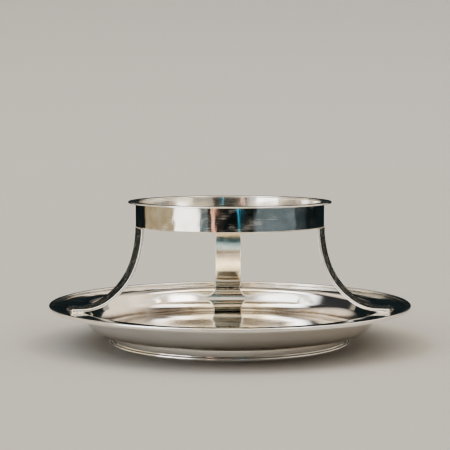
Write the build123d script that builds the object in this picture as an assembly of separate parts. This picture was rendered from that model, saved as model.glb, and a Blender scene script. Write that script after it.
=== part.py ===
from build123d import *
import os
from math import atan, cos, degrees, radians, sin

# Footed paten plate with an open collar carried above its well on three bent strap legs.
#
# Frame: millimetres, +Z up, origin on the axis at the level that the foot rests on.
# The open side, between the two side legs, faces -Y, and the back leg stands at +Y.
# Every joint is soldered, so nothing moves.

# Plate
PLATE_RADIUS = 80.0
RIM_TOP = 18.2  # highest line of the rim
SHEET = 0.9  # gauge of the raised plate
WELL_TOP = 6.4  # upper face of the well
WELL_RADIUS = 60.6  # corner between the well and the wall, before it is rounded
SHOULDER_RADIUS = 65.56  # corner between the wall and the brim
BRIM_TOP = 16.75
BRIM_LIFT_RADIUS = 73.0  # the brim is level up to here, then curves up to the rim
WELL_BEND = 8.0
SHOULDER_BEND = 3.5

# Wire around the rim
RIM_WIRE_WIDTH = 1.8
RIM_WIRE_HEIGHT = 0.7
RIM_WIRE_ROUND = 0.3

# Foot
FOOT_RADIUS = 52.0  # outside of the upright strip
FOOT_GAUGE = 1.2
FOOT_WIRE_WIDTH = 1.4
FOOT_WIRE_HEIGHT = 2.2
FOOT_WIRE_ROUND = 0.8
FOOT_SOLDER_LEG = 0.7

# Collar
COLLAR_RADIUS = 41.7  # outside of the band
COLLAR_GAUGE = 1.3
COLLAR_BOTTOM = 52.2
COLLAR_TOP = 63.4
LIP_RADIUS = 45.0
LIP_GAUGE = 0.8
LIP_ROUND = 0.3

# Strap legs, flat across their width and bent only in the upright plane through the axis
LEG_WIDTH = 12.4
LEG_GAUGE = 1.3
LEG_TOP_RADIUS = 41.55  # outer face where the strap meets the collar
LEG_FOOT_RADIUS = 67.0  # where the outer face becomes level
LEG_TIP_RADIUS = 72.0
LEG_FOOT_TOP = 18.2
UPPER_BEND = 46.0  # radius of the outer face just under the collar
UPPER_TURN = 20.0  # degrees that the upper bend turns through
MIDDLE_TURN = 38.0
BACK_LEG_ANGLE = 90.0
LEG_SPREAD = 105.0  # degrees from the back leg to each side leg
LEG_ANGLES = {
    "back": BACK_LEG_ANGLE,
    "left": BACK_LEG_ANGLE + LEG_SPREAD,
    "right": BACK_LEG_ANGLE - LEG_SPREAD,
}

# Solder fillets at the two ends of each leg
FOOT_FILLET = 0.7
FOOT_FILLET_START = 67.6  # radius where the fillet under the strap begins
TOP_FILLET = 0.3
TOP_FILLET_HEIGHT = 0.6

QUARTER_TURN = 90.0


def upright_box(inner, outer, low, high):
    """A rectangle in the XZ plane, between two radii and two heights."""
    return Plane.XZ * Pos((inner + outer) / 2, (low + high) / 2) * Rectangle(outer - inner, high - low)


def spin(section):
    """The ring or dish that a section in the XZ plane makes about the Z axis."""
    return revolve(section, axis=Axis.Z)


def sheet_section(face_line, gauge):
    """The section of sheet metal whose upper or outer face follows a line drawn outwards or downwards."""
    return make_face(offset(face_line, gauge, side=Side.LEFT))


def plate_dish():
    """Flat well, sloping wall and dished brim, raised from one disc."""
    brim_edge = (PLATE_RADIUS, RIM_TOP - RIM_WIRE_HEIGHT)
    with BuildLine(Plane.XZ) as face_line:
        FilletPolyline(
            (0, WELL_TOP),
            (WELL_RADIUS, WELL_TOP),
            (SHOULDER_RADIUS, BRIM_TOP),
            (BRIM_LIFT_RADIUS, BRIM_TOP),
            radius=[WELL_BEND, SHOULDER_BEND],
        )
        TangentArc((BRIM_LIFT_RADIUS, BRIM_TOP), brim_edge, tangent=(1, 0))
    section = sheet_section(face_line.line, SHEET)
    return spin(section & upright_box(0, PLATE_RADIUS, 0, RIM_TOP))


def rim_wire(dish):
    """Half-round wire on the edge of the brim, flush with it outside."""
    blank = upright_box(PLATE_RADIUS - RIM_WIRE_WIDTH, PLATE_RADIUS, BRIM_TOP, RIM_TOP)
    section = fillet(blank.vertices().group_by(Axis.Z)[-1], RIM_WIRE_ROUND)
    return spin(section) - dish


def foot_ring():
    """Upright strip that carries the plate."""
    return spin(upright_box(FOOT_RADIUS - FOOT_GAUGE, FOOT_RADIUS, 0, WELL_TOP - SHEET))


def foot_base_wire():
    """Half-round wire around the bottom of the foot strip."""
    blank = upright_box(FOOT_RADIUS, FOOT_RADIUS + FOOT_WIRE_WIDTH, 0, FOOT_WIRE_HEIGHT)
    return spin(fillet(blank.vertices().group_by(Axis.X)[-1], FOOT_WIRE_ROUND))


def foot_ring_solder():
    """Fillet between the foot strip and the underside of the plate."""
    underside = WELL_TOP - SHEET
    corner = Plane.XZ * Polyline(
        (FOOT_RADIUS, underside),
        (FOOT_RADIUS + FOOT_SOLDER_LEG, underside),
        (FOOT_RADIUS, underside - FOOT_SOLDER_LEG),
        close=True,
    )
    return spin(make_face(corner))


def collar_band():
    """Upright strip rolled into the collar, open through the middle."""
    inner = COLLAR_RADIUS - COLLAR_GAUGE
    return spin(upright_box(inner, COLLAR_RADIUS, COLLAR_BOTTOM, COLLAR_TOP - LIP_GAUGE))


def collar_lip():
    """Flat ring on top of the band, standing out past it."""
    blank = upright_box(COLLAR_RADIUS - COLLAR_GAUGE, LIP_RADIUS, COLLAR_TOP - LIP_GAUGE, COLLAR_TOP)
    outer = blank.vertices().group_by(Axis.X)[-1]
    bore = blank.vertices().group_by(Axis.X)[0].sort_by(Axis.Z)[-1]
    return spin(fillet([*outer, bore], LIP_ROUND))


def lower_bends():
    """Radii of the middle and lower bends that bring the outer face level at the foot of the leg."""
    first, second = radians(UPPER_TURN), radians(UPPER_TURN + MIDDLE_TURN)
    out = LEG_FOOT_RADIUS - LEG_TOP_RADIUS - UPPER_BEND * (1 - cos(first))
    down = COLLAR_BOTTOM - LEG_FOOT_TOP - UPPER_BEND * sin(first)
    middle_out, middle_down = cos(first) - cos(second), sin(second) - sin(first)
    lower_out, lower_down = cos(second), 1 - sin(second)
    spread = middle_out * lower_down - lower_out * middle_down
    middle = (out * lower_down - lower_out * down) / spread
    lower = (middle_out * down - out * middle_down) / spread
    return middle, lower


def strap_leg():
    """One leg over the +X axis: upright under the collar, bent outwards, then level on the brim."""
    middle, lower = lower_bends()
    with BuildLine(Plane.XZ) as face_line:
        upper = JernArc((LEG_TOP_RADIUS, COLLAR_BOTTOM), (0, -1), UPPER_BEND, UPPER_TURN)
        knee = JernArc(upper @ 1, upper % 1, middle, MIDDLE_TURN)
        ankle = JernArc(knee @ 1, knee % 1, lower, QUARTER_TURN - UPPER_TURN - MIDDLE_TURN)
        Line(ankle @ 1, (LEG_TIP_RADIUS, LEG_FOOT_TOP))
    return extrude(sheet_section(face_line.line, LEG_GAUGE), LEG_WIDTH / 2, both=True)


def largest_solid(shape):
    """The biggest of the solids that a cut leaves."""
    return shape.solids().sort_by(SortBy.VOLUME)[-1]


def leg_foot_solder(leg, dish):
    """Fillet around the level end of a leg, with the film between it and the brim."""
    inner, outer = FOOT_FILLET_START, LEG_TIP_RADIUS + FOOT_FILLET
    low, high = BRIM_TOP - SHEET / 2, LEG_FOOT_TOP - LEG_GAUGE / 2
    taper = degrees(atan(FOOT_FILLET / (high - BRIM_TOP)))
    base = Pos((inner + outer) / 2, 0, low) * Rectangle(outer - inner, LEG_WIDTH + 2 * FOOT_FILLET)
    return largest_solid(extrude(base, high - low, taper=taper) - leg - dish)


def leg_top_solder(leg):
    """Fillet around the top of a leg, under the edge of the collar band."""
    middle = LEG_TOP_RADIUS - LEG_GAUGE / 2
    base = Pos(middle, 0, COLLAR_BOTTOM) * Rectangle(LEG_GAUGE + 2 * TOP_FILLET, LEG_WIDTH + 2 * TOP_FILLET)
    taper = degrees(atan(TOP_FILLET / TOP_FILLET_HEIGHT))
    return largest_solid(extrude(base, -TOP_FILLET_HEIGHT, taper=taper) - leg)


def turned(shape):
    """The shape that is drawn over +X, once over each leg."""
    return [Rot(0, 0, angle) * shape for angle in LEG_ANGLES.values()]


def pieces():
    """Every piece of the plate by its node name."""
    dish, leg = plate_dish(), strap_leg()
    made = {
        "plate_dish": dish,
        "rim_wire": rim_wire(dish),
        "foot_ring": foot_ring(),
        "foot_base_wire": foot_base_wire(),
        "foot_ring_solder": foot_ring_solder(),
        "collar_band": collar_band(),
        "collar_lip": collar_lip(),
        "leg_foot_solder": Compound(turned(leg_foot_solder(leg, dish))),
        "leg_top_solder": Compound(turned(leg_top_solder(leg))),
    }
    for side, angle in LEG_ANGLES.items():
        made[f"strap_leg_{side}"] = Rot(0, 0, angle) * leg
    return made


os.makedirs("parts", exist_ok=True)
for name, shape in pieces().items():
    export_step(shape, f"parts/{name}.step")
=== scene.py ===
from math import cos, pi, radians, sin, tan

import bpy
import numpy as np
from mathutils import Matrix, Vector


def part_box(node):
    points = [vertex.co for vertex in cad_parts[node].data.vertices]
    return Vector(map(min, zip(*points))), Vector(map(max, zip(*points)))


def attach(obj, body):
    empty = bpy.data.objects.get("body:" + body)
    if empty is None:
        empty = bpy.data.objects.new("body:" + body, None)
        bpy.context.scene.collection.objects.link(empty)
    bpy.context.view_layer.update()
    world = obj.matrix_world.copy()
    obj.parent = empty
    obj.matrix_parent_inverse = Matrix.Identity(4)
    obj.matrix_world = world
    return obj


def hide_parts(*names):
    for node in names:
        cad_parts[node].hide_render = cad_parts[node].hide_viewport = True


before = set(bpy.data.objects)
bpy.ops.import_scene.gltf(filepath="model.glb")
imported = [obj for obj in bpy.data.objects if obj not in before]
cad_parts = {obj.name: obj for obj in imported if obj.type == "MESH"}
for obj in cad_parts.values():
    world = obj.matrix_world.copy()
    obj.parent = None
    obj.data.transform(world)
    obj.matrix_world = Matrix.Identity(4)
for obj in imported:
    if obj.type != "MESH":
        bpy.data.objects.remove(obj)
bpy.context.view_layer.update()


# The plate. One disc of silver, raised over a stake into a flat well, a sloping wall and a nearly level
# brim, then planished with a flat hammer and polished. Everything else is soldered to it.
MM = 0.001
SHEET = 0.9 * MM
WELL_CORNER, WELL_BEND = 60.6 * MM, 8.0 * MM
WELL_DEPTH = 10.35 * MM
SHOULDER_CORNER, SHOULDER_BEND = 65.56 * MM, 3.5 * MM
BRIM_LIFT, BRIM_LIFT_START = 0.75 * MM, 73.0 * MM
EDGE_ABOVE, EDGE_BELOW = 0.05 * MM, 0.3 * MM  # how round the brim's two outer corners are
PLATE_POLE = 0.4 * MM  # the small disc that closes the mesh on the axis
SILVER = (0.93, 0.905, 0.86, 1)
TARNISH = (0.62, 0.52, 0.40, 1)
SCRATCH_DEPTH = 0.0011 * MM
WIDEST_ARC_STEP = radians(15)
plate_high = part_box("plate_dish")[1]
plate_radius = plate_high.x
brim_level = plate_high.z - BRIM_LIFT
well_level = brim_level - WELL_DEPTH


def unit(vectors):
    """Each vector divided by its own length."""
    return vectors / np.linalg.norm(vectors, axis=-1, keepdims=True)


def run(start, end, pitch, hold=0.12 * MM):
    """Points from start up to, not including, end: one a hold away from each end, the rest evenly spread.

    The points near the ends keep the smooth shading of a bend off the flat beside it.
    """
    length = np.linalg.norm(end - start)
    hold = min(hold, length / 5)
    inner = np.linspace(hold, length - hold, max(2, int(np.ceil(length / pitch)) + 1))
    steps = np.concatenate([[0.0], inner]) / length
    return start + (end - start) * steps[:, None]


def bend(centre, radius, first, turn, pitch):
    """Points on the arc round a centre, from angle first through turn, closer together than the pitch."""
    parts = max(2, int(np.ceil(abs(turn) / WIDEST_ARC_STEP)), int(np.ceil(radius * abs(turn) / pitch)))
    angle = first + turn * np.linspace(0, 1, parts + 1)
    return centre + radius * np.stack([np.cos(angle), np.sin(angle)], -1)


def outline(corners, radii, pitch=1.5 * MM, closed=True):
    """A line through corners, each rounded by an arc tangent to its two sides, as points in order."""
    corners = np.array(corners, float)
    before, after = unit(corners - np.roll(corners, 1, 0)), unit(np.roll(corners, -1, 0) - corners)
    turn = np.arctan2(before[:, 0] * after[:, 1] - before[:, 1] * after[:, 0], (before * after).sum(1))
    radii = np.array(radii, float)
    if not closed:
        radii[[0, -1]] = 0
        turn[[0, -1]] = 0
    reach = radii * np.tan(np.abs(turn) / 2)
    enter, leave = corners - before * reach[:, None], corners + after * reach[:, None]
    points = []
    for i in range(len(corners)):
        if radii[i] and turn[i]:
            side = np.sign(turn[i]) * np.array([-before[i, 1], before[i, 0]])
            centre = enter[i] + side * radii[i]
            first = np.arctan2(*(enter[i] - centre)[::-1])
            points.append(bend(centre, radii[i], first, turn[i], pitch)[:-1])
        if closed or i < len(corners) - 1:
            points.append(run(leave[i], enter[(i + 1) % len(corners)], pitch))
    if not closed:
        points.append(corners[-1:])
    return np.concatenate(points)


def beside(corners, gap):
    """The corners of the line that runs a gap to the right of an open line."""
    corners = np.array(corners, float)
    along = unit(np.diff(corners, axis=0))
    right = np.stack([along[:, 1], -along[:, 0]], -1)
    first, last = np.concatenate([right[:1], right]), np.concatenate([right, right[-1:]])
    mitre = unit(first + last)
    return corners + mitre * (gap / (mitre * first).sum(1))[:, None]


def shell(name, loops, joined):
    """A closed mesh through loops of points, an array of loop by point by xyz.

    Next points of next loops make four-sided faces. The last loop joins the first, or else each end loop
    closes in a fan on its middle. The faces are turned outwards where the volume they hold is negative.
    """
    count, size = loops.shape[:2]
    vertices = loops.reshape(-1, 3)
    index = np.arange(count * size).reshape(count, size)
    following = np.roll(index, -1, 0) if joined else index[1:]
    starting = index if joined else index[:-1]
    quads = np.stack(
        [starting, np.roll(starting, -1, 1), np.roll(following, -1, 1), following], -1
    ).reshape(-1, 4)
    faces = quads.tolist()
    if not joined:
        vertices = np.concatenate([vertices, loops[:1].mean(1), loops[-1:].mean(1)])
        first, last = index[0], index[-1]
        fans = [(np.roll(first, -1), first, count * size), (last, np.roll(last, -1), count * size + 1)]
        for one, two, middle in fans:
            faces += np.stack([one, two, np.full(size, middle)], -1).tolist()
    corner, side, other, end = (vertices[quads[:, i]] for i in range(4))
    volume = (corner * (np.cross(side, other) + np.cross(other, end))).sum()
    if not joined:
        for one, two, middle in fans:
            volume += (vertices[one] * np.cross(vertices[two], vertices[middle])).sum()
    if volume < 0:
        faces = [face[::-1] for face in faces]
    mesh = bpy.data.meshes.new(name)
    mesh.from_pydata(vertices.tolist(), [], faces)
    mesh.validate()
    mesh.shade_smooth()
    piece = bpy.data.objects.new(name, mesh)
    bpy.context.scene.collection.objects.link(piece)
    return piece


def spun(section, around):
    """x = r cos t, y = r sin t for every point (r, z) of a section and angle t: one loop to each point."""
    angle = 2 * pi * np.arange(around) / around
    radius, height = section[:, :1], section[:, 1:]
    return np.stack([radius * np.cos(angle), radius * np.sin(angle), height + 0 * angle], -1)


def hammered(points, push, depth, widest, finest, seed, waves=32):
    """Points moved along push by depth times a sum of cosine waves through space, the shorter the shallower.

    Each wave is (L / widest) sqrt(2 / waves) cos(2 pi (direction . point) / L + phase), with its length L
    drawn between the widest and the finest.
    """
    draw = np.random.default_rng(seed)
    length = widest * (finest / widest) ** draw.random(waves)
    heading = unit(draw.normal(size=(waves, 3)))
    phase = 2 * pi * draw.random(waves)
    share = length / widest * np.sqrt(2 / waves)
    rise = (np.cos(points @ (2 * pi * heading / length[:, None]).T + phase) * share).sum(-1)
    return points + push * (depth * rise)[..., None]


UPWARD = np.array([0, 0, 1.0])


def outward(points):
    """The level direction away from the axis at each point."""
    away = points * [1, 1, 0]
    return away / np.maximum(np.linalg.norm(away, axis=-1, keepdims=True), 1e-9)


def node(tree, kind, inputs=None, **settings):
    """A shader node with its settings, each input set to a value or linked from a socket."""
    made = tree.nodes.new("ShaderNode" + kind)
    for key, value in settings.items():
        setattr(made, key, value)
    for key, value in (inputs or {}).items():
        if isinstance(value, bpy.types.NodeSocket):
            tree.links.new(value, made.inputs[key])
        else:
            made.inputs[key].default_value = value
    return made


def metal(name):
    """A new material with a bare metal shader, and its tree, shader and Object coordinates."""
    material = bpy.data.materials.new(name)
    material.use_nodes = True
    tree = material.node_tree
    shader = tree.nodes["Principled BSDF"]
    shader.inputs["Metallic"].default_value = 1.0
    return material, tree, shader, node(tree, "TexCoord").outputs["Object"]


def blotches(tree, where, size, detail=3.0, low=0.35, high=0.65):
    """Soft noise patches of about a size, from 0 to 1."""
    noise = node(tree, "TexNoise", {"Vector": where, "Scale": 1 / size, "Detail": detail})
    spread = {"Value": noise.outputs["Fac"], "From Min": low, "From Max": high}
    return node(tree, "MapRange", spread).outputs["Result"]


def mixed(tree, share, first, second):
    """The first colour where share is 0, the second where it is 1."""
    mix = node(tree, "Mix", data_type="RGBA")
    for socket, value in zip((mix.inputs[0], mix.inputs[6], mix.inputs[7]), (share, first, second)):
        if isinstance(value, bpy.types.NodeSocket):
            tree.links.new(value, socket)
        else:
            socket.default_value = value
    return mix.outputs[2]


def ranged(tree, value, from_low, from_high, to_low, to_high, smooth=False):
    """A value moved from one range to another, clamped at both ends."""
    inputs = {
        "Value": value, "From Min": from_low, "From Max": from_high, "To Min": to_low, "To Max": to_high,
    }
    kind = "SMOOTHSTEP" if smooth else "LINEAR"
    return node(tree, "MapRange", inputs, interpolation_type=kind).outputs["Result"]


def between(tree, share, low, high):
    """The value that is a share of the way from low to high."""
    return ranged(tree, share, 0, 1, low, high)


def sums(tree, operation, first, second=0.0):
    """Two values put together by a sum, product or the like, or one value's size."""
    return node(tree, "Math", {0: first, 1: second}, operation=operation).outputs[0]


def rolled(tree, where, radius):
    """Distance round the axis at a radius, height, and distance from the axis: a strip's own coordinates.

    The distance round is counted from the front, so its one break is at the back.
    """
    parts = node(tree, "SeparateXYZ", {0: where}).outputs
    turn = sums(tree, "ARCTAN2", parts["X"], sums(tree, "MULTIPLY", parts["Y"], -1.0))
    flat = node(tree, "VectorMath", {0: where, 1: (1, 1, 0)}, operation="MULTIPLY").outputs["Vector"]
    away = node(tree, "VectorMath", {0: flat}, operation="LENGTH").outputs["Value"]
    round_it = sums(tree, "MULTIPLY", turn, radius)
    return node(tree, "CombineXYZ", {"X": round_it, "Y": parts["Z"], "Z": away}).outputs["Vector"]


def stretched(tree, where, length, detail=2.0):
    """Noise that is stretched to a length along each axis."""
    shrink = tuple(1 / part for part in length)
    scaled = node(tree, "VectorMath", {0: where, 1: shrink}, operation="MULTIPLY").outputs["Vector"]
    return node(tree, "TexNoise", {"Vector": scaled, "Scale": 1.0, "Detail": detail}).outputs["Fac"]


def hairlines(tree, where):
    """Sparse hairline scratches: thin crests of long stretched noise, laid in three directions."""
    total = 0.0
    for turn in (0.3, 1.4, 2.5):
        laid = node(tree, "Mapping", {"Vector": where, "Rotation": (0.4 * turn, 0.2, turn)}).outputs["Vector"]
        crest = stretched(tree, laid, (16 * MM, 1.1 * MM, 1.1 * MM))
        total = sums(tree, "ADD", ranged(tree, crest, 0.60, 0.68, 0.0, 1.0), total)
    return total


def bumped(tree, shader, height, distance):
    """Joins a height in metres times distance to the shader's normal."""
    bump = node(tree, "Bump", {"Height": height, "Distance": distance, "Strength": 1.0})
    tree.links.new(bump.outputs["Normal"], shader.inputs["Normal"])


def crease(tree, away, middle, reach):
    """How near a distance from the axis is to the middle of a crease: 1 in it, 0 past its reach."""
    off = sums(tree, "ABSOLUTE", sums(tree, "SUBTRACT", away, middle))
    return ranged(tree, off, 0.0, reach, 1.0, 0.0, smooth=True)


def polished_silver(name, radius, line_depth, creases):
    """Mirror polish over planishing: faint smudges, hairline scratches and a grid of fine polishing lines.

    A warm film of tarnish is left in patches and in the creases, where a cloth can't reach. Each crease is
    its distance from the axis and its reach.
    """
    material, tree, shader, where = metal(name)
    strip = rolled(tree, where, radius)
    film = between(tree, blotches(tree, where, 22 * MM, detail=4.0, low=0.45, high=0.75), 0.0, 0.2)
    away = node(tree, "SeparateXYZ", {0: strip}).outputs["Z"]
    patchy = between(tree, blotches(tree, where, 5 * MM, detail=5.0), 0.3, 1.0)
    for middle, reach in creases:
        film = sums(tree, "ADD", film, sums(tree, "MULTIPLY", crease(tree, away, middle, reach), patchy))
    tree.links.new(mixed(tree, film, SILVER, TARNISH), shader.inputs["Base Color"])
    smudge = blotches(tree, where, 9 * MM, detail=5.0)
    tree.links.new(between(tree, smudge, 0.05, 0.12), shader.inputs["Roughness"])
    upright = stretched(tree, strip, (0.35 * MM, 9 * MM, 9 * MM))
    level = stretched(tree, strip, (11 * MM, 0.3 * MM, 0.3 * MM))
    grid = sums(tree, "MULTIPLY", sums(tree, "ADD", upright, level), line_depth)
    scratches = sums(tree, "MULTIPLY", hairlines(tree, where), SCRATCH_DEPTH)
    bumped(tree, shader, sums(tree, "ADD", grid, scratches), 1.0)
    return material


well_crease = (WELL_CORNER - 1.5 * MM, 3.5 * MM)
wire_crease = (plate_radius - 2.2 * MM, 1.2 * MM)
polish = polished_silver("polished_silver", plate_radius, 0.0016 * MM, [well_crease, wire_crease])
face_line = [
    (0, well_level), (WELL_CORNER, well_level), (SHOULDER_CORNER, brim_level),
    ((BRIM_LIFT_START + plate_radius) / 2, brim_level), (plate_radius, plate_high.z),
]
lift_run = plate_radius - BRIM_LIFT_START
lift_circle = (lift_run**2 / BRIM_LIFT + BRIM_LIFT) / 2  # radius of the arc from the level brim to the edge
lift_bend = 0.86 * lift_circle  # a little tighter, so that the arc ends short of the edge
under_line = beside(face_line, SHEET)
under_line[-1, 0] = plate_radius
plate_section = outline(
    np.concatenate([face_line, under_line[::-1]]),
    [
        0, WELL_BEND, SHOULDER_BEND, lift_bend, EDGE_ABOVE,
        EDGE_BELOW, lift_bend + SHEET, SHOULDER_BEND - SHEET, WELL_BEND + SHEET, 0,
    ],
    pitch=1.8 * MM, closed=False,
)
plate_section[:, 0] = np.maximum(plate_section[:, 0], PLATE_POLE)
plate_loops = spun(plate_section, 448)
plate_loops = hammered(plate_loops, UPWARD, depth=0.06 * MM, widest=32 * MM, finest=7 * MM, seed=11)
plate = shell("plate_dish_raised", plate_loops, joined=False)
plate.data.materials.append(polish)
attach(plate, "root")
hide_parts("plate_dish")


# The rim wire. A flat half-round wire soldered on the edge of the brim, filed flush outside and burnished
# bright. Its bed is sunk a little into the lifted edge, so no gap shows.
RIM_WIRE_WIDTH = 1.8 * MM
RIM_WIRE_SINK = 0.05 * MM
RIM_WIRE_FOOT = 0.37 * MM  # height of its inner edge over the level brim, just inside the lifted sheet
HEADROOM = 0.02 * MM  # keeps the hammered top under the highest line of the rim
SHARP = 0.02 * MM  # the rounding of a corner that is hidden in another piece
rim_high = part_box("rim_wire")[1]
rim_inner = plate_radius - RIM_WIRE_WIDTH
rim_section = outline(
    [
        (plate_radius, plate_high.z - RIM_WIRE_SINK), (plate_radius, rim_high.z),
        (rim_inner, rim_high.z), (rim_inner, brim_level + RIM_WIRE_FOOT),
    ],
    [0.1 * MM, 0.5 * MM, 0.6 * MM, SHARP], pitch=0.6 * MM,
)
rim_loops = spun(rim_section - [0, HEADROOM], 640)
rim_loops = hammered(rim_loops, UPWARD, depth=0.02 * MM, widest=40 * MM, finest=12 * MM, seed=12)
rim = shell("rim_wire_burnished", rim_loops, joined=True)


def burnished_silver():
    """Edges rubbed bright with a steel burnisher: long faint lines round the axis, no film."""
    material, tree, shader, where = metal("burnished_silver")
    shader.inputs["Base Color"].default_value = (0.95, 0.935, 0.90, 1)
    smudge = blotches(tree, where, 4 * MM, detail=4.0)
    tree.links.new(between(tree, smudge, 0.10, 0.22), shader.inputs["Roughness"])
    strip = rolled(tree, where, plate_radius)
    rubbed = stretched(tree, strip, (14 * MM, 0.25 * MM, 0.25 * MM))
    bumped(tree, shader, sums(tree, "ADD", rubbed, hairlines(tree, where)), 0.002 * MM)
    return material


burnish = burnished_silver()
rim.data.materials.append(burnish)
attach(rim, "root")
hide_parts("rim_wire")


# The foot. An upright strip bent into a ring and soldered under the well, with a half-round wire round its
# bottom edge and a fillet of solder in the corner under the plate.
FOOT_GAUGE = 1.2 * MM
FOOT_TUCK = 0.1 * MM  # how far the strip runs on into the plate
FILLET_LEG, FILLET_THROAT = 0.7 * MM, 0.2 * MM
foot_radius, foot_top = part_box("foot_ring")[1].x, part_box("foot_ring")[1].z
base_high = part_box("foot_base_wire")[1]
foot_inner = foot_radius - FOOT_GAUGE
foot_section = outline(
    [
        (foot_inner, 0), (foot_radius, 0),
        (foot_radius, foot_top + FOOT_TUCK), (foot_inner, foot_top + FOOT_TUCK),
    ],
    [0.25 * MM, SHARP, SHARP, SHARP], pitch=0.9 * MM,
)
foot_loops = spun(foot_section, 400)
foot_loops = hammered(
    foot_loops, outward(foot_loops), depth=0.03 * MM, widest=25 * MM, finest=9 * MM, seed=21
)
foot = shell("foot_ring_strip", foot_loops, joined=True)
base_section = outline(
    [(foot_radius, 0), (base_high.x, 0), (base_high.x, base_high.z), (foot_radius, base_high.z)],
    [SHARP, 0.7 * MM, 0.9 * MM, SHARP], pitch=0.6 * MM,
)
base = shell("foot_base_wire_drawn", spun(base_section, 480), joined=True)
fillet_section = outline(
    [
        (foot_radius, foot_top), (foot_radius, foot_top - FILLET_LEG),
        (foot_radius + FILLET_THROAT, foot_top - FILLET_THROAT), (foot_radius + FILLET_LEG, foot_top),
    ],
    [0, 0, 0.5 * MM, 0], pitch=0.3 * MM,
)
fillet = shell("foot_ring_solder_fillet", spun(fillet_section, 360), joined=True)


def solder_silver():
    """Hard solder, a little yellower and duller than the sheet, with pin-holes and soft lumps."""
    material, tree, shader, where = metal("solder_silver")
    film = blotches(tree, where, 1.5 * MM, detail=3.0, low=0.4, high=0.7)
    tint = mixed(tree, film, (0.80, 0.77, 0.70, 1), (0.50, 0.45, 0.38, 1))
    tree.links.new(tint, shader.inputs["Base Color"])
    tree.links.new(between(tree, film, 0.22, 0.38), shader.inputs["Roughness"])
    bumped(tree, shader, stretched(tree, where, (0.8 * MM,) * 3, detail=3.0), 0.025 * MM)
    return material


solder = solder_silver()
for piece, finish, cad_node, slot in (
    (foot, polish, "foot_ring", "polished_silver"),
    (base, burnish, "foot_base_wire", "burnished_edge"),
    (fillet, solder, "foot_ring_solder", "silver_solder"),
):
    piece.data.materials.append(finish)
    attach(piece, "root")
    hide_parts(cad_node)


# The collar. A strip rolled into a ring, its seam soldered at the back, planished with a hammer on a tapered
# mandrel, which leaves it thinner at its top, then polished. Its lower edge is stoned round.
COLLAR_GAUGE, COLLAR_TAPER = 1.3 * MM, 0.55 * MM
COLLAR_TUCK = 0.05 * MM  # how far the band runs on into the lip
MANDREL_SHARE = 0.25  # how much of each hammer mark shows on the wall that lay on the mandrel
band_low, band_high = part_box("collar_band")
band_inner = band_high.x - COLLAR_GAUGE
bore_top = band_inner + COLLAR_TAPER
band_top = band_high.z + COLLAR_TUCK
band_section = outline(
    [(band_inner, band_low.z), (band_high.x, band_low.z), (band_high.x, band_top), (bore_top, band_top)],
    [0.3 * MM, 0.4 * MM, SHARP, SHARP], pitch=0.5 * MM,
)
band_loops = spun(band_section, 720)
outer_share = np.clip((band_section[:, 0] - band_inner) / COLLAR_GAUGE, MANDREL_SHARE, 1)[:, None, None]
band_push = outward(band_loops) * outer_share
band_loops = hammered(band_loops, band_push, depth=0.07 * MM, widest=22 * MM, finest=4 * MM, seed=31)
band = shell("collar_band_planished", band_loops, joined=True)
lip_crease = (band_high.x + 0.2 * MM, 0.4 * MM)
band.data.materials.append(polished_silver("collar_silver", band_high.x, 0.011 * MM, [lip_crease]))
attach(band, "root")
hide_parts("collar_band")


# The lip. A flat ring cut from sheet, soldered on top of the band and standing out past it all round. It
# lies not quite flat, so its top is drawn a hair low, to stay under the collar's full height.
LIP_HEADROOM = 0.08 * MM
lip_low, lip_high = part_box("collar_lip")
lip_top = lip_high.z - LIP_HEADROOM
lip_section = outline(
    [(bore_top, lip_low.z), (lip_high.x, lip_low.z), (lip_high.x, lip_top), (bore_top, lip_top)],
    [SHARP, 0.2 * MM, 0.4 * MM, 0.3 * MM], pitch=0.7 * MM,
)
lip_loops = spun(lip_section, 560)
lip_loops = hammered(lip_loops, UPWARD, depth=0.04 * MM, widest=40 * MM, finest=12 * MM, seed=32)
lip = shell("collar_lip_ring", lip_loops, joined=True)
lip.data.materials.append(burnish)
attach(lip, "root")
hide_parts("collar_lip")


# The three legs. Each is a length of flat strap, bent over a former into one sweeping curve, polished on the
# face that looks at the axis, left satin on the other, and filed along its edges, which carry a painted
# highlight: a lighter base colour than the faces.
LEG_WIDTH, LEG_GAUGE = 12.4 * MM, 1.3 * MM
LEG_TOP_RADIUS = 41.55 * MM
LEG_FOOT, LEG_TAB = 67.0 * MM, 5.0 * MM  # where the outer face becomes level, and how far it runs on
LEG_UPPER_BEND = 46.0 * MM
LEG_BEND_TURNS = np.radians([20.0, 38.0, 32.0])
LEG_EDGE, LEG_END = 0.5 * MM, 0.25 * MM  # how round its long edges and its two ends are
LEG_TURNS = {"back": 90.0, "left": 195.0, "right": 345.0}
leg_low, leg_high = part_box("strap_leg_back")
leg_top, leg_bed = leg_high.z, leg_low.z


def leg_bends():
    """The radii of the three bends: the upper one is given, and the others bring the face level at the foot.

    An arc of radius R from heading a to b, counted from straight down, goes R (cos a - cos b) outwards and
    R (sin b - sin a) down, so the two unknown radii solve two linear equations.
    """
    turned = np.concatenate([[0], np.cumsum(LEG_BEND_TURNS)])
    moves = np.stack([-np.diff(np.cos(turned)), np.diff(np.sin(turned))])
    whole = np.array([LEG_FOOT - LEG_TOP_RADIUS, leg_top - (leg_bed + LEG_GAUGE)])
    return [LEG_UPPER_BEND, *np.linalg.solve(moves[:, 1:], whole - LEG_UPPER_BEND * moves[:, 0])]


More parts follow.
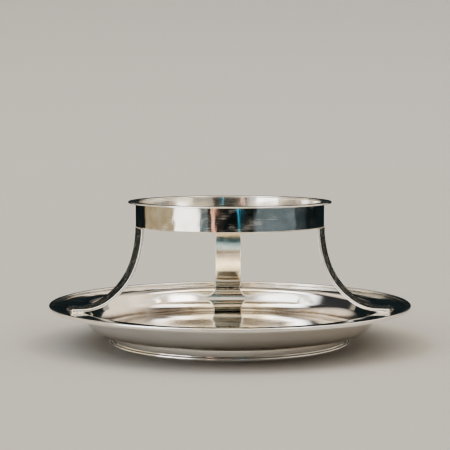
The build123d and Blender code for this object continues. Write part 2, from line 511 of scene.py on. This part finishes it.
def strap_line(pitch):
    """The outer face of a leg in its upright plane: arcs tangent to each other, then a level tab.

    Returns places (r, z) and the normals of the outer face at the same points.
    """
    place, heading = np.array([LEG_TOP_RADIUS, leg_top]), -pi / 2
    places, headings = [], []
    for radius, turn in zip(leg_bends(), LEG_BEND_TURNS):
        steps = np.linspace(0, turn, int(np.ceil(radius * turn / pitch)) + 1)[:-1]
        centre = place + radius * np.array([-sin(heading), cos(heading)])
        spread = heading + steps
        places.append(centre + radius * np.stack([np.sin(spread), -np.cos(spread)], -1))
        headings.append(spread)
        heading += turn
        place = centre + radius * np.array([sin(heading), -cos(heading)])
    tab = np.linspace(0, LEG_TAB, int(np.ceil(LEG_TAB / pitch)) + 1)
    places.append(place + tab[:, None] * [1.0, 0.0])
    headings.append(np.full(len(tab), heading))
    places, headings = np.concatenate(places), np.concatenate(headings)
    return places, np.stack([-np.sin(headings), np.cos(headings)], -1)


def swung(points, angle):
    """Points over +X turned to an angle in degrees round the axis."""
    turn = radians(angle)
    return points @ np.array([[cos(turn), sin(turn), 0], [-sin(turn), cos(turn), 0], [0, 0, 1]])


def strap(angle, seed):
    """A rounded rectangle carried along the strap line, turned to its place round the axis.

    Near the tip it shrinks by R - sqrt(R^2 - (R - distance)^2), which rounds the end. With the mesh comes
    each point's place on the strap before it was bent: along it, across it and through it.
    """
    places, normals = strap_line(0.5 * MM)
    half, middle = LEG_WIDTH / 2, LEG_GAUGE / 2
    corners = [(-half, 0), (half, 0), (half, -LEG_GAUGE), (-half, -LEG_GAUGE)]
    ring = outline(corners, [LEG_EDGE] * 4, pitch=0.8 * MM)
    near_tip = np.clip(LEG_END - np.linalg.norm(places - places[-1], axis=1), 0, None)
    shrink = LEG_END - np.sqrt((LEG_END - near_tip) * (LEG_END + near_tip))
    side = ring[None, :, 0] * (1 - shrink[:, None] / half)
    depth = -middle + (ring[None, :, 1] + middle) * (1 - shrink[:, None] / middle)
    radius = places[:, None, 0] + normals[:, None, 0] * depth
    height = places[:, None, 1] + normals[:, None, 1] * depth
    points = np.stack([radius, side, height], -1)
    push = np.stack([normals[:, 0], 0 * normals[:, 0], normals[:, 1]], -1)[:, None, :]
    points = hammered(points, push, depth=0.04 * MM, widest=30 * MM, finest=6 * MM, seed=seed)
    steps = np.linalg.norm(np.diff(places, axis=0), axis=1)
    along = np.concatenate([[0], np.cumsum(steps)])[:, None] + 0 * side
    return swung(points, angle), np.stack([along, side, depth], -1)


def label(piece, name, values):
    """Keeps a vector for every point of a piece, with the mean of each end loop for the middle of its fan."""
    flat = values.reshape(-1, 3)
    flat = np.concatenate([flat, values[:1].mean(1), values[-1:].mean(1)])
    layer = piece.data.attributes.new(name, "FLOAT_VECTOR", "POINT")
    layer.data.foreach_set("vector", flat.astype(np.float32).ravel())


def brushed_silver():
    """Polished inside and satin outside, grained along the strap, with cross-filed edges and some tarnish.
    The edges carry a painted highlight: a lighter base colour than the darker faces.
    """
    material, tree, shader, where = metal("brushed_silver")
    unbent = node(tree, "Attribute", attribute_name="unbent").outputs["Vector"]
    parts = node(tree, "SeparateXYZ", {0: unbent}).outputs
    aside = sums(tree, "ABSOLUTE", parts["Y"])
    edge = ranged(tree, aside, LEG_WIDTH / 2 - LEG_EDGE, LEG_WIDTH / 2, 0.0, 1.0, smooth=True)
    face = sums(tree, "SUBTRACT", 1.0, edge)
    film = blotches(tree, where, 12 * MM, detail=4.0, low=0.4, high=0.75)
    # Painted highlight: the filed edges get a lighter base colour (0.97) than the faces (0.86), standing in
    # for the light they catch.
    tint = mixed(tree, face, (0.97, 0.96, 0.94, 1), (0.86, 0.83, 0.78, 1))
    tint = mixed(tree, sums(tree, "MULTIPLY", film, face), tint, (0.66, 0.60, 0.51, 1))
    tree.links.new(tint, shader.inputs["Base Color"])
    smudge = between(tree, blotches(tree, where, 3 * MM, detail=5.0), 0.0, 0.09)
    outer_face = ranged(tree, parts["Z"], -0.7 * LEG_GAUGE, -0.1 * LEG_GAUGE, 0.07, 0.19)
    satin = sums(tree, "ADD", sums(tree, "MULTIPLY", edge, 0.2), sums(tree, "ADD", outer_face, smudge))
    tree.links.new(satin, shader.inputs["Roughness"])
    grain = stretched(tree, unbent, (9 * MM, 0.16 * MM, 0.16 * MM), detail=3.0)
    filed = stretched(tree, unbent, (0.30 * MM, 3 * MM, 3 * MM))
    flat_part = sums(tree, "MULTIPLY", grain, face)
    edge_part = sums(tree, "MULTIPLY", sums(tree, "MULTIPLY", filed, edge), 2.5)
    bumped(tree, shader, sums(tree, "ADD", flat_part, edge_part), 0.004 * MM)
    return material


brushed = brushed_silver()
for seed, (side_name, angle) in enumerate(LEG_TURNS.items(), 41):
    loops, unbent = strap(angle, seed)
    leg = shell(f"strap_leg_{side_name}_bent", loops, joined=False)
    label(leg, "unbent", unbent)
    leg.data.materials.append(brushed)
    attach(leg, "root")
    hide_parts(f"strap_leg_{side_name}")


# The solder at the legs. A bead runs round the level end of each leg and creeps in under it, and a finer one
# runs round its top under the collar's edge. Each was built up by hand from wire solder, so it is uneven.
FOOT_BEAD, TOP_BEAD = 0.85 * MM, 0.42 * MM  # how far each bead spreads over the face that it lies on
TOP_CLIMB = 1.6 * TOP_BEAD  # how far down the strap the upper one comes
BEAD_HOLLOW = 1.7  # 1 is a flat bevel, and more is more hollow
BEAD_ROOT, BEAD_SINK = 0.35 * MM, 0.08 * MM  # how deep a bead is set into the strap and into the face
BEAD_TOE = 0.04 * MM  # how far its toe is drawn in
CREEP_FROM, CREEP_TO = LEG_FOOT - 0.6 * MM, LEG_FOOT + 0.4 * MM  # where it turns in under the strap
CREEP_FILL = 0.12 * MM  # how much higher than the gap it stands there
BEAD_PITCH = 0.25 * MM


def around(low, high, half, corner, pitch):
    """Points round a rounded rectangle over +X, from radius low to high, and the outward normals there."""
    path = outline([(low, -half), (high, -half), (high, half), (low, half)], [corner] * 4, pitch)
    ahead = unit(np.roll(path, -1, 0) - np.roll(path, 1, 0))
    return path, np.stack([ahead[:, 1], -ahead[:, 0]], -1)


def waver(count, strength, seed):
    """A closed run of numbers that rises and falls near 1.

    Number i is 1 + strength / sqrt(n) times the sum over n steps k of a_k cos(2 pi (k i / count + phase_k)),
    each a_k drawn from a bell curve.
    """
    draw = np.random.default_rng(seed)
    step = np.arange(3, 26)
    phase = draw.random(len(step))
    lift = np.cos(2 * pi * (step * np.arange(count)[:, None] / count + phase)) * draw.normal(size=len(step))
    return 1 + strength * lift.sum(-1) / np.sqrt(len(step))


def bead(path, normal, level, leg, rise, seed):
    """A fillet of solder in the corner between a face at a level and the side that a path follows.

    The section at each point of the path is a hollow curve from the toe, a leg out along the face, to the
    crest, a rise up the side: out = leg (1 - s)^hollow, up = rise s^hollow for s from 0 to 1. It is closed
    inside the metal, and it wavers in size along the path.
    """
    share = np.linspace(0, 1, 9)
    out = np.concatenate([leg * (1 - share) ** BEAD_HOLLOW - BEAD_TOE, [-BEAD_ROOT, -BEAD_ROOT]])
    up = rise * np.concatenate([share**BEAD_HOLLOW, [1.0, 0.0]]) - np.sign(rise) * BEAD_SINK
    count = len(path)
    spread = np.where(out > 0, waver(count, 0.28, seed)[:, None] * out, out)
    climb = up * waver(count, 0.22, seed + 1)[:, None]
    place = path[:, None] + normal[:, None] * spread[..., None]
    return np.concatenate([place, (level + climb)[..., None]], -1)


half_strap = LEG_WIDTH / 2
foot_path, foot_normal = around(CREEP_FROM, LEG_FOOT + LEG_TAB, half_strap, 0.45 * MM, BEAD_PITCH)
under = np.clip((CREEP_TO - foot_path[:, :1]) / (CREEP_TO - CREEP_FROM), 0, 1)
foot_rise = FOOT_BEAD * (1 - under) + (leg_bed - brim_level + CREEP_FILL) * under
top_path, top_normal = around(
    LEG_TOP_RADIUS - LEG_GAUGE, LEG_TOP_RADIUS, half_strap, LEG_EDGE, BEAD_PITCH
)
for seed, (side_name, angle) in enumerate(LEG_TURNS.items(), 51):
    foot_bead = bead(foot_path, foot_normal, brim_level, FOOT_BEAD, foot_rise, seed)
    top_bead = bead(top_path, top_normal, leg_top, TOP_BEAD, -TOP_CLIMB, seed + 10)
    for end, points in (("foot", foot_bead), ("top", top_bead)):
        points = swung(points, angle)
        swell = unit(points - points.mean(1, keepdims=True))
        points = hammered(points, swell, depth=0.06 * MM, widest=3 * MM, finest=0.8 * MM, seed=seed)
        piece = shell(f"leg_{end}_bead_{side_name}", points, joined=True)
        piece.data.materials.append(solder)
        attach(piece, "root")
        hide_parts(f"leg_{end}_solder")


# The floor. One plain pale sweep: level under the plate and for a good way round it, then curving up on all
# sides into the backdrop, so that no view shows an edge.
STAGE_LEVEL, STAGE_COVE, STAGE_TOP = 1.8, 0.9, 0.95  # metres: level radius, cove radius and height
STAGE_POLE, STAGE_THICK = 0.02, 0.01
stage_wall = STAGE_LEVEL + STAGE_COVE
stage_line = outline(
    [(STAGE_POLE, 0), (stage_wall, 0), (stage_wall, STAGE_TOP)], [0, STAGE_COVE, 0], pitch=0.1, closed=False
)
stage_under = stage_line - [0, STAGE_THICK]
stage_under[:, 0] += STAGE_THICK * (stage_line[:, 1] > 0)
floor = shell("floor", spun(np.concatenate([stage_line, stage_under[::-1]]), 128), joined=False)
floor_paint = bpy.data.materials.new("pale_floor")
floor_paint.use_nodes = True
floor_shader = floor_paint.node_tree.nodes["Principled BSDF"]
floor_shader.inputs["Base Color"].default_value = (0.58, 0.577, 0.568, 1)
floor_shader.inputs["Roughness"].default_value = 0.9
floor_shader.inputs["Specular IOR Level"].default_value = 0
floor.data.materials.append(floor_paint)


# The lights. The room is dim, with large soft lights far off, and round the plate stand low soft cards and
# black flags, which only the metal mirrors: they give the collar its light and dark stretches.
CREAM, WHITE, COOL = (1, 0.86, 0.60), (0.96, 0.98, 1), (0.62, 0.78, 0.88)
CYAN, PINK, BEIGE = (0.15, 0.62, 0.9), (1, 0.62, 0.52), (1, 0.87, 0.72)
TEAL, PALE_TEAL = (0.1, 0.5, 0.6), (0.45, 0.85, 0.95)
CARD_AWAY, FLAG_AWAY, FRONT_AWAY = 0.38, 0.48, 0.72  # metres from the axis
FLAG_STEPS = 40


def panel(name, turn, wide, low, top, glow, colour, away=CARD_AWAY):
    """A soft upright card that glows evenly, facing the plate.

    It stands at an angle round the axis, counted from the front (-Y) towards +X, and is as wide as an angle
    seen from the axis. Its power is the glow times pi times its area.
    """
    lamp = bpy.data.lights.new(name, "AREA")
    lamp.shape = "RECTANGLE"
    lamp.size, lamp.size_y = 2 * away * tan(radians(wide / 2)), top - low
    lamp.energy = glow * pi * lamp.size * lamp.size_y
    lamp.color = colour
    card = bpy.data.objects.new(name, lamp)
    turn = radians(turn)
    card.location = (away * sin(turn), -away * cos(turn), (low + top) / 2)
    card.rotation_euler = (radians(90), 0, turn)
    card.visible_camera = card.visible_diffuse = False
    bpy.context.scene.collection.objects.link(card)


def flag(name, first, last, low, top, away=FLAG_AWAY):
    """A curved strip of black cloth, from one angle to another round the axis and from one height to another.

    The strip is (away sin t, -away cos t) for t from first to last.
    """
    turn = np.radians(np.linspace(first, last, FLAG_STEPS))
    hem = np.stack([away * np.sin(turn), -away * np.cos(turn), low + 0 * turn], -1)
    crest = hem + [0, 0, top - low]
    here = np.arange(FLAG_STEPS - 1)
    faces = np.stack([here, here + 1, here + FLAG_STEPS + 1, here + FLAG_STEPS], -1)
    mesh = bpy.data.meshes.new(name)
    mesh.from_pydata(np.concatenate([hem, crest]).tolist(), [], faces.tolist())
    wall = bpy.data.objects.new(name, mesh)
    bpy.context.scene.collection.objects.link(wall)
    wall.visible_camera = wall.visible_diffuse = wall.visible_shadow = False
    mesh.materials.append(flag_cloth)


flag_cloth = bpy.data.materials.new("flag_cloth")
flag_cloth.use_nodes = True
flag_shader = flag_cloth.node_tree.nodes["Principled BSDF"]
flag_shader.inputs["Base Color"].default_value = (0.012, 0.030, 0.042, 1)
flag_shader.inputs["Roughness"].default_value = 0.9
flag("flag_round", 0, 360, 0.0, 0.06)
flag("flag_front", -27, 22, 0.0, 0.10)
flag("flag_back", 140, 220, 0.0, 0.19)

panel("left_cream", -94, 54, 0.0, 0.14, 0.42, CREAM)
panel("left_white", -52, 31, 0.0, 0.14, 1.8, WHITE)
panel("left_grey", -31, 10, 0.0, 0.14, 0.25, COOL)
panel("pink_line", -18.6, 5.0, 0.0, 0.10, 1.1, PINK)
panel("wine_patch", -12, 9, 0.0, 0.10, 0.03, PINK)
panel("cyan_line", 9, 1.5, 0.0, 0.10, 1.1, CYAN)
panel("blue_patch", 12.6, 4.4, 0.0, 0.10, 0.07, CYAN)
panel("right_cool", 54, 52, 0.0, 0.06, 0.24, COOL)
panel("right_dim", 88, 18, 0.0, 0.06, 0.06, COOL)
panel("right_warm", 85, 70, 0.065, 0.15, 0.5, BEIGE)
panel("front_teal", 0, 50, 0.33, 0.41, 0.16, TEAL, FRONT_AWAY)
panel("front_pale", 0, 50, 0.43, 0.62, 0.5, PALE_TEAL, FRONT_AWAY)

# The far lights: each stands at a turn from the front and a rise over the floor, and is even inside its inner
# angle and gone at its outer one, all in degrees.
world = bpy.data.worlds.new("room")
bpy.context.scene.world = world
world.use_nodes = True
room = world.node_tree
heading = node(room, "TexCoord").outputs["Generated"]
shine = (0.06, 0.06, 0.065)
for turn, rise, inner, outer, colour, glow in (
    (0, 82, 12, 30, CREAM, 1.3),
    (0, 56, 8, 26, BEIGE, 0.75),
    (62, 38, 14, 38, BEIGE, 0.8),
    (46, 40, 4, 13, WHITE, 2.2),
    (122, 26, 12, 36, BEIGE, 0.8),
    (-60, 40, 12, 30, WHITE, 2.0),
    (86, 63, 4, 17, WHITE, 1.5),
    (-88, 63, 4, 17, WHITE, 1.7),
    (-135, 41, 2, 23, BEIGE, 0.75),
    (180, 52, 4, 34, BEIGE, 0.3),
):
    turn, rise = radians(turn), radians(rise)
    middle = (sin(turn) * cos(rise), -cos(turn) * cos(rise), sin(rise))
    facing = node(room, "VectorMath", {0: heading, 1: middle}, operation="DOT_PRODUCT").outputs["Value"]
    share = ranged(room, facing, cos(radians(outer)), cos(radians(inner)), 0.0, glow, smooth=True)
    light = node(room, "VectorMath", {0: colour, "Scale": share}, operation="SCALE").outputs["Vector"]
    shine = node(room, "VectorMath", {0: shine, 1: light}, operation="ADD").outputs["Vector"]
room.links.new(shine, room.nodes["Background"].inputs["Color"])


# The camera. It stands in front of the plate and a hair to the left, a little higher than the collar, and
# looks slightly down.
eye = bpy.data.cameras.new("camera")
eye.lens = 109.59
eye.clip_start = 0.01
camera = bpy.data.objects.new("camera", eye)
camera.location = (-0.0101, -0.606, 0.09765)
camera.rotation_euler = (radians(90 - 4.254), 0, -radians(0.7496))
bpy.context.scene.collection.objects.link(camera)
bpy.context.scene.camera = camera
bpy.context.scene.view_settings.look = "AgX - High Contrast"
